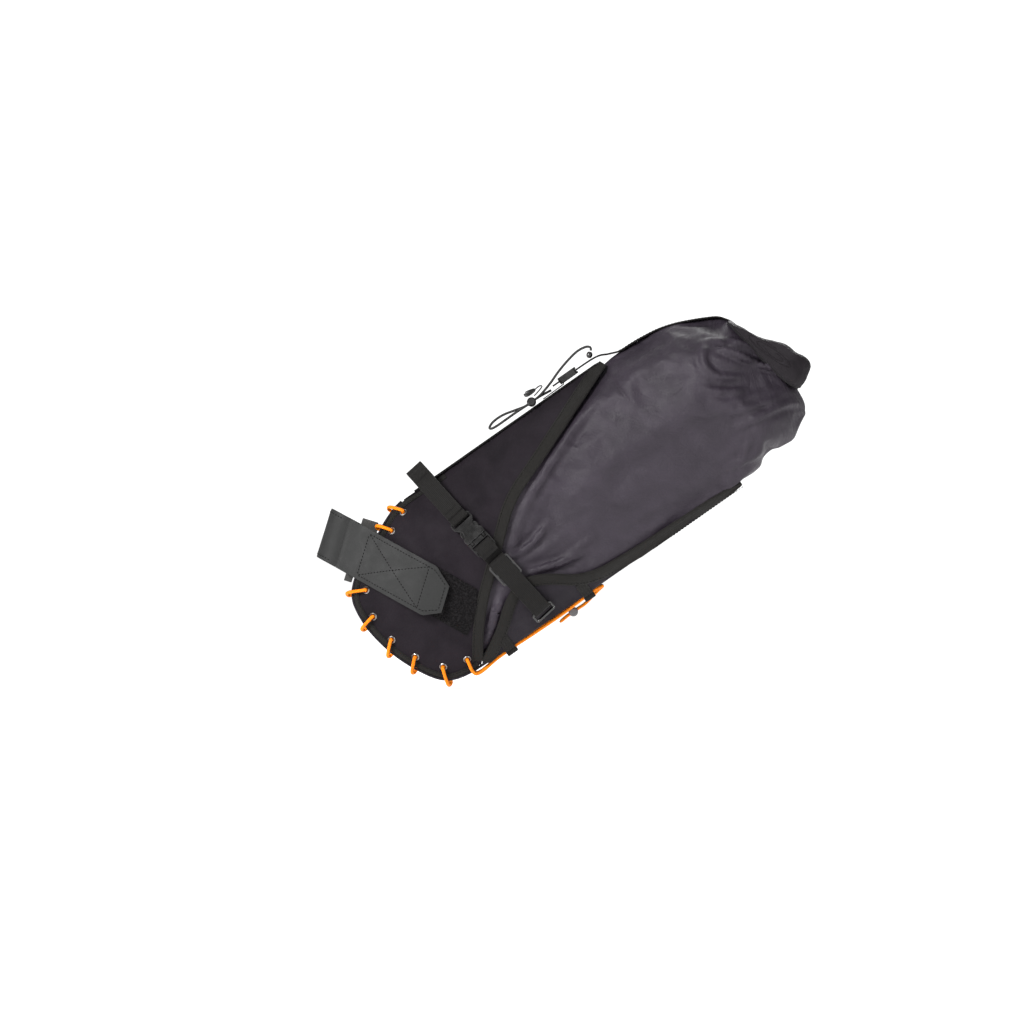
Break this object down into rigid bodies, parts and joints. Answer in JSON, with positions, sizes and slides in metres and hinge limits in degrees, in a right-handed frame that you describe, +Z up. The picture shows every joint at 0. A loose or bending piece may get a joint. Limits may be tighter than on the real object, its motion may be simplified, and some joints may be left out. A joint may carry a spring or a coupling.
{
  "type": "bicycle saddle bag",
  "caption": "Laced holster saddle bag with a removable roll-top dry bag, a seatpost strap, and buckled straps for the saddle rails.",
  "frame": {"origin": "on the seatpost's axis, at the middle of the seatpost strap", "axes": "+X rearward along the bicycle, +Y to the rider's right, +Z up; the bag leans 35 degrees up to the rear and the seatpost 17 degrees back"},
  "size_m": [0.5182, 0.1616, 0.3867],
  "materials": {
    "panel": "matt black coated nylon with a slight purple cast",
    "base": "matt black coated nylon, stiffened",
    "dry_bag": "satin dark grey-purple coated nylon",
    "crest": "matt black woven tape",
    "webbing": "woven black nylon webbing and tape",
    "strap": "smooth matt charcoal synthetic rubber",
    "loop": "black loop tape, fuzzy",
    "pad": "textured dark grey grip foam",
    "lace": "bright orange braided bungee",
    "bungee": "black braided bungee",
    "plastic": "satin black acetal",
    "lock_grey": "satin grey acetal",
    "eyelet": "dark plated brass or steel eyelets",
    "spring": "bright spring wire"
  },
  "bodies": {
    "root": {"base_panel": "base", "bungee_end": "plastic", "eyelet_left_1": "eyelet", "eyelet_left_2": "eyelet", "eyelet_left_3": "eyelet", "eyelet_left_4": "eyelet", "eyelet_left_5": "eyelet", "eyelet_left_6": "eyelet", "eyelet_left_7": "eyelet", "eyelet_left_8": "eyelet", "eyelet_right_1": "eyelet", "eyelet_right_2": "eyelet", "eyelet_right_3": "eyelet", "eyelet_right_4": "eyelet", "eyelet_right_5": "eyelet", "eyelet_right_6": "eyelet", "eyelet_right_7": "eyelet", "eyelet_right_8": "eyelet", "foot_webbing_left": "webbing", "foot_webbing_right": "webbing", "lace_lock_barrel": "lock_grey", "lace_lock_spring": "spring", "lace_tab_left_1": "webbing", "lace_tab_left_2": "webbing", "lace_tab_right_1": "webbing", "lace_tab_right_2": "webbing", "lacing_left": "lace", "lacing_right": "lace", "ladder_anchor": "webbing", "ladder_lock": "plastic", "loop_patch": "loop", "post_grip_pad": "pad", "pull_tab": "webbing", "rail_buckle_female_left": "plastic", "rail_buckle_female_right": "plastic", "rail_buckle_male_left": "plastic", "rail_buckle_male_right": "plastic", "rail_webbing_left": "webbing", "rail_webbing_right": "webbing", "ridge_bungee": "bungee", "ridge_lock_barrel": "plastic", "ridge_lock_spring": "spring", "ridge_webbing": "webbing", "seatpost_strap": "strap", "side_panel_left": "panel", "side_panel_right": "panel", "strap_ring_left": "plastic", "strap_ring_right": "plastic", "tri_glide_left": "plastic", "tri_glide_right": "plastic"},
    "dry_bag": {"dry_bag": "dry_bag", "roll_top": "dry_bag", "crest_strap": "crest"},
    "strap_tab": {"seatpost_strap_tab": "strap"},
    "buckle_arm_rear_left": {"rail_buckle_arm_rear_left": "plastic"},
    "buckle_arm_front_left": {"rail_buckle_arm_front_left": "plastic"},
    "buckle_arm_rear_right": {"rail_buckle_arm_rear_right": "plastic"},
    "buckle_arm_front_right": {"rail_buckle_arm_front_right": "plastic"},
    "ridge_lock_button": {"ridge_lock_plunger": "plastic"},
    "lace_lock_button": {"lace_lock_plunger": "lock_grey"}
  },
  "joints": [
    {"name": "dry_bag_slide", "type": "slide", "parent": "root", "child": "dry_bag", "axis": [0.8192, 0, 0.5736], "range_m": [0, 0.38]},
    {"name": "strap_tab_peel", "type": "hinge", "parent": "root", "child": "strap_tab", "pos_m": [0.00399, -0.0185, -0.00122], "axis": [0.2924, 0, 0.9563], "range_deg": [-100, 0]},
    {"name": "buckle_arm_rear_left_squeeze", "type": "hinge", "parent": "root", "child": "buckle_arm_rear_left", "pos_m": [0.15111, -0.06323, 0.0067], "axis": [-0.0505, -0.9972, 0.0551], "range_deg": [0, 6], "stiffness_Nm_per_rad": 0.8},
    {"name": "buckle_arm_front_left_squeeze", "type": "hinge", "parent": "root", "child": "buckle_arm_front_left", "pos_m": [0.13985, -0.06322, -0.00351], "axis": [-0.0505, -0.9972, 0.0551], "range_deg": [-6, 0], "stiffness_Nm_per_rad": 0.8},
    {"name": "buckle_arm_rear_right_squeeze", "type": "hinge", "parent": "root", "child": "buckle_arm_rear_right", "pos_m": [0.15111, 0.06323, 0.0067], "axis": [-0.0505, 0.9972, 0.0551], "range_deg": [-6, 0], "stiffness_Nm_per_rad": 0.8},
    {"name": "buckle_arm_front_right_squeeze", "type": "hinge", "parent": "root", "child": "buckle_arm_front_right", "pos_m": [0.13985, 0.06322, -0.00351], "axis": [-0.0505, 0.9972, 0.0551], "range_deg": [0, 6], "stiffness_Nm_per_rad": 0.8},
    {"name": "ridge_lock_press", "type": "slide", "parent": "root", "child": "ridge_lock_button", "axis": [0, 1, 0], "range_m": [0, 0.0035], "stiffness_N_per_m": 600, "springref_m": -0.001, "deforming": ["ridge_lock_spring"]},
    {"name": "lace_lock_press", "type": "slide", "parent": "root", "child": "lace_lock_button", "axis": [0, 1, 0], "range_m": [0, 0.0035], "stiffness_N_per_m": 600, "springref_m": -0.001, "deforming": ["lace_lock_spring"]}
  ],
  "couplings": [
    {"joint": "buckle_arm_front_left_squeeze", "follows": "buckle_arm_rear_left_squeeze", "ratio": -1},
    {"joint": "buckle_arm_front_right_squeeze", "follows": "buckle_arm_rear_right_squeeze", "ratio": -1}
  ]
}
